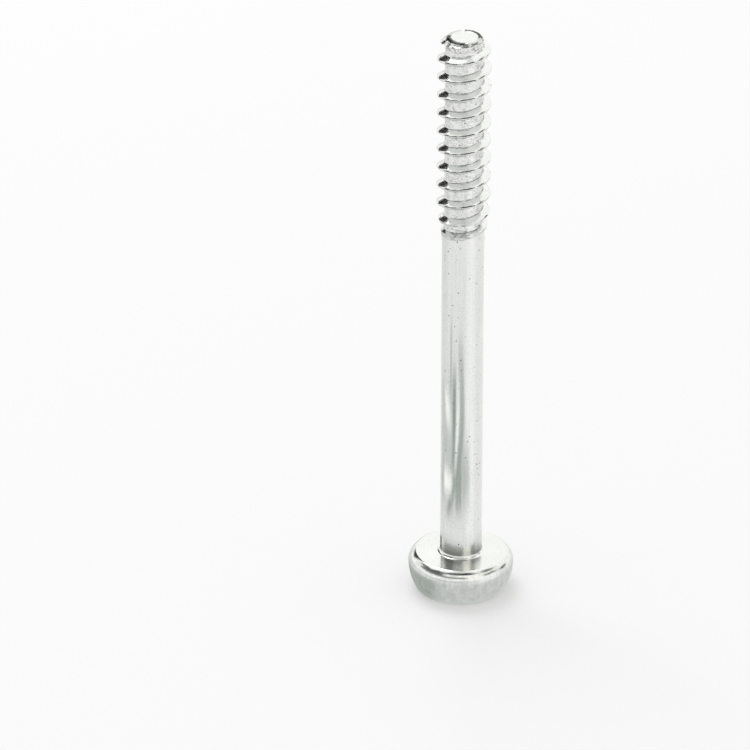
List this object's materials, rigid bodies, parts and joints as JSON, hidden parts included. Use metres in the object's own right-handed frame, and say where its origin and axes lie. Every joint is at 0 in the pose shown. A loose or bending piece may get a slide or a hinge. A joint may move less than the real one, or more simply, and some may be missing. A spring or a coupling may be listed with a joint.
{
  "type": "license plate screw",
  "caption": "Long pan-head tapping screw with a cross recess, a plain shank and a coarse right-hand thread that ends at a blunt, chamfered tip; it stands on its head.",
  "frame": {"origin": "centre of the flat crown of the head, on the surface that the screw stands on", "axes": "+Z along the screw's axis, from the head up to the tip; +X and +Y along the wings of the cross recess"},
  "size_m": [0.0093, 0.0092, 0.0535],
  "materials": {
    "zinc_plate": "bright zinc plate with a fine satin grain"
  },
  "bodies": {
    "root": {"screw": "zinc_plate"}
  },
  "joints": []
}
